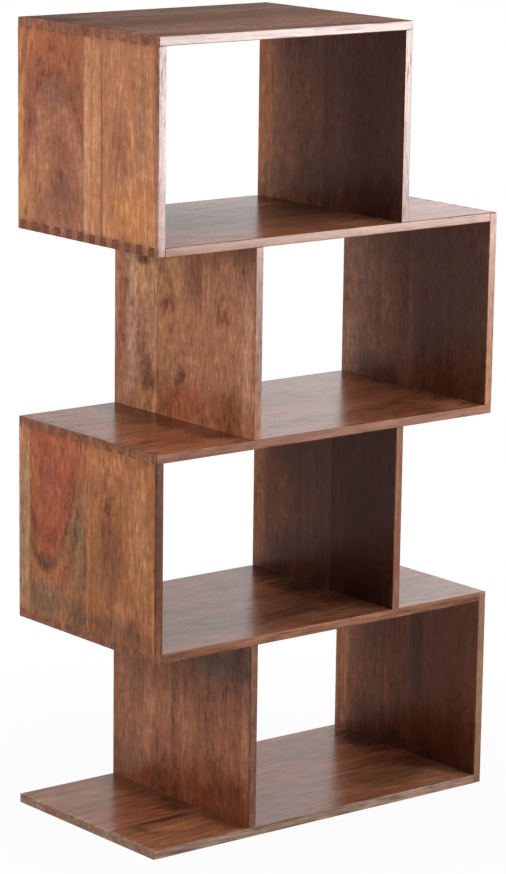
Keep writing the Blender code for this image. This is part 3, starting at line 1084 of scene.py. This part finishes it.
add_stains_or_painted_light(
    "bottom_right_wall_middle",
    # painted shade at the foot of the inner face
    StainOrPaintedLight(0.180, 0.040, 0.120, 0.100, (78, 44, 32), 0.55),
    StainOrPaintedLight(0.222, 0.240, 0.016, 0.200, (104, 66, 48), 0.6),
    # painted shade at the foot of the inner face
    StainOrPaintedLight(0.160, 0.016, 0.070, 0.060, (56, 32, 24)),
)
add_stains_or_painted_light(
    "bottom_right_wall_front",
    StainOrPaintedLight(0.235, 0.240, 0.020, 0.200, (100, 62, 44), 0.6),
    # painted shade at the foot of the inner face
    StainOrPaintedLight(0.300, 0.040, 0.200, 0.090, (78, 42, 30), 0.55),
)
add_stains_or_painted_light(
    "base_board_back",
    # painted shade beside the wall under the lower cube, then in the back corner by the right wall
    StainOrPaintedLight(0.100, -0.185, 0.150, 0.060, (90, 52, 36)),
    StainOrPaintedLight(0.110, 0.340, 0.110, 0.065, (58, 36, 26), 0.85),
)
add_stains_or_painted_light(
    "base_board_middle",
    # painted shade beside the wall under the lower cube, then by the right wall
    StainOrPaintedLight(0.210, -0.180, 0.080, 0.050, (84, 48, 32), 0.8),
    StainOrPaintedLight(0.170, 0.345, 0.040, 0.050, (64, 40, 28), 0.6),
)
add_stains_or_painted_light(
    "base_board_front",
    # painted shadow along the foot of the wall
    StainOrPaintedLight(0.330, -0.176, 0.100, 0.022, (100, 58, 38)),
    StainOrPaintedLight(0.274, -0.255, 0.012, 0.090, (84, 46, 30), 0.8),
    StainOrPaintedLight(0.295, -0.322, 0.022, 0.018, (96, 54, 36)),
    StainOrPaintedLight(0.314, -0.245, 0.024, 0.065, (184, 120, 78), 0.8),
    StainOrPaintedLight(0.320, 0.210, 0.045, 0.090, (92, 64, 44)),
    # painted light in the front corner beside the right wall
    StainOrPaintedLight(0.340, 0.328, 0.050, 0.030, (170, 116, 82)),
    StainOrPaintedLight(0.385, 0.290, 0.020, 0.080, (182, 126, 92), 0.6),
)
print(stains_and_painted_light_so_far(), "stains after the bottom cube")

# %% [markdown]
# ## Front edges, ends and knots
# A panel's front edge soaks up more or less of the dye than its faces, so on most panels it is a thin
# strip of another tint. That is a stain as long as the stave and a few millimetres deep. On the top left
# wall the strip is pale and pinkish, partly painted sheen. The ends of a stave are open fibres and take the
# dye in further. They are stained at the finger joints of the two outer left walls and at the left ends of
# the boards. Knots are few: five small ones, all on the walls that stand in the light.

# %% Front edges
EDGE_STRIP_DEPTH, EDGE_SHARE = 0.0035, 0.9
FRONT_EDGES = {
    "base_board": (142, 116, 98),
    "lower_shelf": (128, 80, 56),
    "middle_shelf": (124, 76, 54),
    "upper_shelf": (132, 72, 34),
    "bottom_left_wall": (106, 68, 51),
    "bottom_right_wall": (126, 93, 70),
    "lower_left_wall": (92, 47, 30),
    "lower_right_wall": (126, 78, 54),
    "upper_left_wall": (146, 98, 75),
    "upper_right_wall": (158, 98, 58),
    # partly painted sheen: a pale pinkish strip
    "top_left_wall": (170, 132, 126),
    "top_right_wall": (112, 48, 10),
}


def edge_stain_or_sheen(node, tint):
    """A tinted strip over the whole front edge of a stave: a stain, and on the top left wall partly painted
    sheen.
    """
    along = directions(node)[0]
    low, high = corners_of(node)
    middle, length = (low + high)[along] / 2, (high - low)[along]
    return StainOrPaintedLight(BACK - FRONT, middle, EDGE_STRIP_DEPTH, length, tint, EDGE_SHARE)


for panel, tint in FRONT_EDGES.items():
    add_stains_or_painted_light(f"{panel}_front", edge_stain_or_sheen(f"{panel}_front_stave", tint))
print(stains_and_painted_light_so_far(), "stains with the front edges")

# %% Ends of the staves
BOARD_SOAK, WALL_SOAK, END_SHARE = 0.008, 0.024, 0.8
END_TINTS = {
    "base_board": (156, 124, 102),
    "lower_shelf": (136, 86, 63),
    "middle_shelf": (124, 77, 57),
    "upper_shelf": (114, 70, 51),
    "top_board": (140, 89, 69),
    "lower_left_wall": (126, 78, 56),
    "top_left_wall": (126, 78, 58),
}


def end_stain(node, end, tint):
    """A stain over the low or the high end of a stave."""
    along, across, _ = directions(node)
    box = corners_of(node)
    from_back = BACK - (box[0] + box[1])[across] / 2
    soak = WALL_SOAK if directions(node) is STANDING else BOARD_SOAK
    return StainOrPaintedLight(from_back, box[end][along], BACK - FRONT, soak, tint, END_SHARE)


for panel, tint in END_TINTS.items():
    ends = (0, 1) if panel.endswith("_wall") else (0,)
    for place in STAVE_PLACES:
        stave = f"{panel}_{place}"
        add_stains_or_painted_light(stave, *(end_stain(f"{stave}_stave", end, tint) for end in ends))
add_stains_or_painted_light("base_board_back", StainOrPaintedLight(0.095, CASE_LOW[X], 0.030, BOARD_SOAK, (138, 80, 66)))
print(stains_and_painted_light_so_far(), "stains with the ends")

# %% Knots
KNOT_STRETCH = 1.5


@dataclass
class Knot:
    """A small branch through a stave: the middle and half width of its oval, in metres.

    The oval is longer along the grain than it is wide, by the knots' stretch.
    """

    from_back: float
    along: float
    radius: float


KNOTS = {
    "lower_left_wall_front_stave": [Knot(0.262, 0.594, 0.010)],
    "upper_left_wall_back_stave": [Knot(0.098, 0.768, 0.016)],
    "upper_left_wall_middle_stave": [Knot(0.150, 0.904, 0.012), Knot(0.194, 0.792, 0.011)],
    "upper_left_wall_front_stave": [Knot(0.318, 0.912, 0.009)],
}
print(sum(map(len, KNOTS.values())), "knots")

# %% [markdown]
# ## Lacquered wood
# The timber is finished with a clear satin lacquer. One Principled shader does it: the colour from the log,
# a roughness that rises in the pores and on the rubbed arrises, a low relief of fibres and pores, and no
# separate coat, because a thin lacquer shines as the wood does. The colour is built up in the order of
# nature: ground, heartwood, stains with the patches of painted shade and light, knots, and the figure over
# them all. Along the arrises it is paled, for wear and as painted sheen. The boards come from straighter
# timber than the walls, so in them the figure is drawn out longer along the grain.

# %% From the case into the log
RAGGED_ALONG, RAGGED_ACROSS = 14.0, 45.0
LONG_GRAIN = 2.5
RIGHT_THROUGH = 0.2


def grain_of(node):
    """One along the grain of a stave and nought across it, as a vector of the case."""
    return np.eye(3)[directions(node)[0]]


def into_log(tree, node, place):
    """A place in the case as a place in the stave's log: two numbers across it, then one along it.

    The log's middle line is turned upright, and a board's length is counted shorter by its long grain.
    """
    lean = logs[node].lean
    turn, grain = (lean, 1.0) if directions(node) is STANDING else (pi / 2 - lean, LONG_GRAIN)
    inputs = {"Vector": place, "Location": logs[node].pith}
    inputs.update({"Rotation": (0.0, turn, 0.0), "Scale": (1.0, 1.0, grain)})
    return add_node(tree, "ShaderNodeMapping", inputs, vector_type="TEXTURE").outputs["Vector"]


def in_stave(node, from_back, along, half_across, half_along):
    """Middle and half size of a patch that goes right through a stave, as two vectors of the case."""
    middle, size = np.empty(3), np.empty(3)
    axes = list(directions(node))
    low, high = corners_of(node)
    middle[axes] = along, BACK - from_back, (low + high)[axes[2]] / 2
    size[axes] = half_along, half_across, RIGHT_THROUGH
    return {"Middle": middle, "Size": size}


print("a stain is ragged every", round(1000 / RAGGED_ALONG), "mm along the grain")

# %% Ground under the figure


def with_heart(tree, node, ground, place):
    """Ground colour with the heartwood of a log that shows some, and the darkness of the line round it."""
    log = logs[node]
    if not log.heart:
        return ground, 0.0
    inputs = {"Ground": ground, "Place": into_log(tree, node, place), "Wander": log.wander}
    inputs.update({"Tint": chart(*HEART_COLOURS[node]), "Radius": log.heart, "Edge": log.edge})
    made = use_group(tree, heart_group, inputs)
    return made["Ground"], work(tree, "MULTIPLY", made["Rim"], log.rim)


def with_stains_and_painted_light(tree, node, ground, place):
    """Ground colour after each stain and each patch of painted shade and light on a stave."""
    ragged = np.where(grain_of(node), RAGGED_ALONG, RAGGED_ACROSS)
    for patch in STAINS_AND_PAINTED_LIGHT[node]:
        inputs = in_stave(node, patch.from_back, patch.along, patch.half_across, patch.half_along)
        inputs.update({"Ground": ground, "Place": place, "Ragged": ragged})
        inputs.update({"Tint": chart(*patch.tint), "Share": patch.share})
        ground = use_group(tree, stain_or_painted_light_group, inputs)["Ground"]
    return ground


def with_knots(tree, node, ground, place):
    """Ground colour and place after each knot of a stave."""
    for knot in KNOTS.get(node, ()):
        inputs = in_stave(node, knot.from_back, knot.along, knot.radius, KNOT_STRETCH * knot.radius)
        inputs.update({"Ground": ground, "Place": place, "Sideways": 1.0 - grain_of(node)})
        made = use_group(tree, knot_group, inputs)
        ground, place = made["Ground"], made["Place"]
    return ground, place


print("the grain of the base board runs along", grain_of("base_board_front_stave"))

# %% Timber of a stave
END_GRAIN_FACES = (0.5, 0.95)


def wood_of(tree, node):
    """Colour, pores and relief of a stave's timber at every place in it."""
    log = logs[node]
    spot = add_node(tree, "ShaderNodeTexCoord").outputs
    ground, rim = with_heart(tree, node, chart(*grounds_and_shade[node]), spot["Object"])
    ground = with_stains_and_painted_light(tree, node, ground, spot["Object"])
    ground, place = with_knots(tree, node, ground, spot["Object"])
    facing = vector_work(tree, "DOT_PRODUCT", spot["Normal"], grain_of(node), output="Value")
    end_grain = fade(tree, work(tree, "ABSOLUTE", facing), *END_GRAIN_FACES)
    inputs = {"Ground": ground, "Place": into_log(tree, node, place), "Rim": rim, "End grain": end_grain}
    inputs.update({"Ring width": log.ring, "Wander": log.wander})
    inputs.update({"Figure": log.figure, "Streak": log.streak, "Ripple": log.ripple})
    return use_group(tree, figured_wood, inputs)


print("a face is all end grain within", round(degrees(acos(END_GRAIN_FACES[1]))), "degrees of the grain")

# %% Lacquer
LACQUER_IOR = 1.47
ROUGHNESS_SHINY, ROUGHNESS_PORES, ROUGHNESS_ARRIS = 0.24, 0.45, 0.8
RELIEF_DEPTH, RELIEF_STRENGTH = 0.00005, 0.4
PALE_ARRIS_WEAR_AND_SHEEN, DULL_ARRIS = 0.25, 0.6


def lacquered(node):
    """The finish of one stave."""
    material, tree, shader = new_material(f"{node}_lacquered")
    wood = wood_of(tree, node)
    arris = add_node(tree, "ShaderNodeAttribute", attribute_name="arris").outputs["Fac"]
    # paler arrises: partly wear, partly painted sheen
    worn_and_sheen_colour = mix(tree, 1.0, wood["Colour"], PALER, "MULTIPLY")
    colour = mix(tree, work(tree, "MULTIPLY", arris, PALE_ARRIS_WEAR_AND_SHEEN), wood["Colour"], worn_and_sheen_colour)
    rough = fade(tree, wood["Pores"], 0.0, 1.0, ROUGHNESS_SHINY, ROUGHNESS_PORES)
    dull = fade(tree, arris, 0.0, DULL_ARRIS, 0.0, ROUGHNESS_ARRIS)
    rough = work(tree, "MAXIMUM", rough, dull)
    inputs = {"Height": wood["Relief"], "Strength": RELIEF_STRENGTH, "Distance": RELIEF_DEPTH}
    relief = add_node(tree, "ShaderNodeBump", inputs).outputs["Normal"]
    tree.links.new(colour, shader.inputs["Base Color"])
    tree.links.new(rough, shader.inputs["Roughness"])
    tree.links.new(relief, shader.inputs["Normal"])
    shader.inputs["IOR"].default_value = LACQUER_IOR
    return material


for node, piece in pieces.items():
    piece.data.materials.append(lacquered(node))
print(len(pieces), "staves finished")

# %% [markdown]
# ## Dowels
# The dowels are turned beech, hidden inside the joints where a wall meets a board away from its ends. Their
# shape in the frame is right already, so they only get a finish: fine pale grain along their length, and
# no lacquer.

# %% Beech
BEECH_GRAIN = dict(stretch=(900.0, 900.0, 60.0), detail=3.0)
BEECH_PALE, BEECH_DEEP = chart(214, 178, 134), chart(178, 140, 98)
BEECH_ROUGHNESS = 0.7

beech, tree, shader = new_material("beech_dowel")
spot = add_node(tree, "ShaderNodeTexCoord").outputs["Object"]
colour = mix(tree, noise(tree, spot, **BEECH_GRAIN), BEECH_PALE, BEECH_DEEP)
tree.links.new(colour, shader.inputs["Base Color"])
shader.inputs["Roughness"].default_value = BEECH_ROUGHNESS
for node in DOWELS:
    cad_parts[node].data.materials.clear()
    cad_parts[node].data.materials.append(beech)
print(len(DOWELS), "dowels of", beech.name)

# %% [markdown]
# ## The floor
# A pale sheet of paper, wide enough to fill every view. It could be lit until it is white, but then the
# case would be lit too much. So the sheet is a plain pale grey in the light that it throws back, and it
# shows itself white to the camera, with a little of its own shading left near the case for the shadow.
# In the lacquer it is mirrored at a lower level, as a floor that falls off into a dim room is. Its glow is
# no lamp, so Cycles is told not to look for light there, which keeps grain out of the shine.

# %% Sheets of the studio


def add_sheet(name, corners, material):
    """A flat four-cornered piece of the studio, which is no part of the case."""
    mesh = bpy.data.meshes.new(name)
    mesh.from_pydata(np.array(corners).tolist(), [], [(0, 1, 2, 3)])
    mesh.materials.append(material)
    sheet = add_piece(name, mesh)
    return sheet


def light_path(tree):
    """The facts of a light path, and 1 where the camera looks straight or through glass."""
    path = add_node(tree, "ShaderNodeLightPath").outputs
    return path, work(tree, "MAXIMUM", path["Is Camera Ray"], path["Is Transmission Ray"])


list_tools(add_sheet, light_path)

# %% Floor
FLOOR_SIZE = 40.0
BLACK, WHITE = (0.0, 0.0, 0.0, 1.0), (1.0, 1.0, 1.0, 1.0)
FLOOR_GREY = (0.55, 0.55, 0.55, 1.0)
FLOOR_ROUGHNESS = 0.9
SHADOW_NEAR, SHADOW_FAR, WHITE_NEAR = 0.4, 1.2, 0.95
MIRRORED_FLOOR = 0.29

paper, tree, shader = new_material("pale_floor")
paper.cycles.emission_sampling = "NONE"
shader.inputs["Base Color"].default_value = FLOOR_GREY
shader.inputs["Roughness"].default_value = FLOOR_ROUGHNESS
shader.inputs["Specular IOR Level"].default_value = 0.0
spot = add_node(tree, "ShaderNodeTexCoord").outputs["Object"]
path, seen = light_path(tree)
away = vector_work(tree, "LENGTH", spot, output="Value")
share = work(tree, "MULTIPLY", fade(tree, away, SHADOW_NEAR, SHADOW_FAR, WHITE_NEAR, 1.0), seen)
share = work(tree, "MAXIMUM", share, path["Is Glossy Ray"])
strength = work(tree, "MULTIPLY_ADD", path["Is Glossy Ray"], MIRRORED_FLOOR - 1.0, 1.0)
white = add_node(tree, "ShaderNodeEmission", {"Color": WHITE, "Strength": strength}).outputs["Emission"]
inputs = {0: share, 1: shader.outputs["BSDF"], 2: white}
blend = add_node(tree, "ShaderNodeMixShader", inputs).outputs["Shader"]
tree.links.new(blend, tree.nodes["Material Output"].inputs["Surface"])

half = FLOOR_SIZE / 2
corners = [(-half, -half, 0.0), (half, -half, 0.0), (half, half, 0.0), (-half, half, 0.0)]
add_sheet("floor", corners, paper)
print("floor", FLOOR_SIZE, "m wide")

# %% [markdown]
# ## The surroundings
# The world is white where the camera looks, a weak fill for the shade inside the cubes, and dim where
# the lacquer mirrors it, so that the wood keeps its depth of colour from every side.

# %% World
WORLD_FILL = 0.10
DIM_SURROUNDINGS = 0.09
CHOOSE_FIRST, CHOOSE_SECOND = 2, 3


def choose(tree, condition, if_not, if_so):
    """One of two numbers, by a condition of 0 or 1, in the Mix node's sockets for numbers."""
    inputs = {MIX_SHARE: condition, CHOOSE_FIRST: if_not, CHOOSE_SECOND: if_so}
    return add_node(tree, "ShaderNodeMix", inputs, data_type="FLOAT").outputs[0]


world = bpy.data.worlds.new("studio")
bpy.context.scene.world = world
world.use_nodes = True
tree = world.node_tree
path, seen = light_path(tree)
level = choose(tree, path["Is Glossy Ray"], WORLD_FILL, DIM_SURROUNDINGS)
background = tree.nodes["Background"].inputs
background["Color"].default_value = WHITE
tree.links.new(choose(tree, seen, level, 1.0), background["Strength"])
print("world fill", WORLD_FILL)

# %% [markdown]
# ## The screen
# A white screen stands behind the case: a sheet that glows though no lamp lights it, a painted reflection.
# Seen in the lacquer of the shelves, at a low angle, it makes the long pale sheen that tells lacquer from
# bare wood. Its glow is painted brighter at the top and on the right. The camera does not see it, and it
# throws no light or shadow, so like the floor it is left out when Cycles looks for light.

# %% Glowing screen behind the case, seen only in the lacquer
SCREEN_WAY = np.array((0.62, 0.78, 0.0))
SCREEN_RIGHT = np.array((SCREEN_WAY[Y], -SCREEN_WAY[X], 0.0))
SCREEN_DISTANCE, SCREEN_WIDTH, SCREEN_HEIGHT = 1.7, 3.0, 1.45
SCREEN_FOOT_LEVEL, SCREEN_TOP_LEVEL = 0.72, 1.34
SCREEN_SLOPE = 0.7

screen_glow, tree, shader = new_material("screen_glow")
screen_glow.cycles.emission_sampling = "NONE"
spot = add_node(tree, "ShaderNodeTexCoord").outputs["Object"]
# painted: the glow rises towards the top and grows towards the right
height = add_node(tree, "ShaderNodeSeparateXYZ", {"Vector": spot}).outputs["Z"]
rise = (SCREEN_TOP_LEVEL - SCREEN_FOOT_LEVEL) / SCREEN_HEIGHT
level = work(tree, "MULTIPLY_ADD", height, rise, SCREEN_FOOT_LEVEL)
to_right = vector_work(tree, "DOT_PRODUCT", spot, SCREEN_RIGHT, output="Value")
level = work(tree, "MULTIPLY", level, work(tree, "MULTIPLY_ADD", to_right, SCREEN_SLOPE, 1.0))
shader.inputs["Base Color"].default_value = BLACK
shader.inputs["Emission Color"].default_value = WHITE
tree.links.new(level, shader.inputs["Emission Strength"])

foot, up = SCREEN_WAY * SCREEN_DISTANCE, np.array((0.0, 0.0, SCREEN_HEIGHT))
left, right = foot - SCREEN_RIGHT * SCREEN_WIDTH / 2, foot + SCREEN_RIGHT * SCREEN_WIDTH / 2
screen = add_sheet("screen", [left, right, right + up, left + up], screen_glow)
screen.visible_camera = screen.visible_diffuse = screen.visible_shadow = False
print("screen", SCREEN_WIDTH, "by", SCREEN_HEIGHT, "m")

# %% [markdown]
# ## The lamps
# Soft boxes give soft shadows. The far one stands low on the right, where the front edges mirror it to
# the camera, and that is what draws the pale lines along the top cubes. The others only fill: the front
# and the insides, the left walls, the tops and the back. They stay out of the mirror of the lacquer, so
# no view shows a glaring rectangle.

# %% Lamps
SOFTBOXES = {
    "edge_softbox": dict(
        place=(3.90, -4.70, 0.74), aim=(0.0, -0.2, 1.0), size=(1.9, 1.05), power=168.0, mirrored=True
    ),
    "front_softbox": dict(place=(1.90, -2.34, 1.10), aim=(0.0, -0.2, 1.0), size=(1.4, 0.8), power=50.0),
    "left_softbox": dict(place=(-2.70, 0.70, 1.70), aim=(-0.3, 0.0, 1.0), size=(1.5, 1.5), power=64.0),
    "top_softbox": dict(place=(0.30, -0.50, 3.00), aim=(0.0, 0.0, 0.7), size=(1.6, 1.2), power=30.0),
    "back_softbox": dict(place=(1.00, 1.90, 2.40), aim=(0.1, 0.0, 0.8), size=(2.2, 1.2), power=46.0),
}


def add_softbox(name, place, aim, size, power, mirrored=False):
    """A rectangular area lamp at place that faces aim. Lengths are in metres, and power is in watts."""
    lamp = bpy.data.lights.new(name, "AREA")
    lamp.shape = "RECTANGLE"
    lamp.size, lamp.size_y = size
    lamp.energy = power
    softbox = add_piece(name, lamp)
    softbox.location = place
    softbox.rotation_euler = (Vector(aim) - Vector(place)).to_track_quat("-Z", "Y").to_euler()
    softbox.visible_glossy = mirrored
    return softbox


softboxes = [add_softbox(name, **facts) for name, facts in SOFTBOXES.items()]
print(len(softboxes), "lamps,", sum(softbox.data.energy for softbox in softboxes), "W")

# %% [markdown]
# ## The camera
# The case is seen from the front left, from above its middle, with a long lens. The picture is a portrait
# of 506 by 874, so the sensor's 36 mm run up its height. A small shift keeps the uprights as they are in
# the picture without tilting the camera further.

# %% Camera
CAMERA_PLACE = (-3.828, -4.778, 1.966)
CAMERA_TURN = (75.950, -0.754, -38.465)
CAMERA_LENS, CAMERA_SENSOR, CAMERA_SHIFT = 145.44, 36.0, 0.1407

camera_data = bpy.data.cameras.new("camera")
camera_data.lens, camera_data.sensor_width = CAMERA_LENS, CAMERA_SENSOR
camera_data.shift_y = CAMERA_SHIFT
camera = add_piece("camera", camera_data)
camera.location = CAMERA_PLACE
camera.rotation_euler = [radians(angle) for angle in CAMERA_TURN]
bpy.context.scene.camera = camera
bpy.context.scene.view_settings.view_transform = "Standard"
print("camera", round(camera.location.length, 2), "m from the foot of the case")
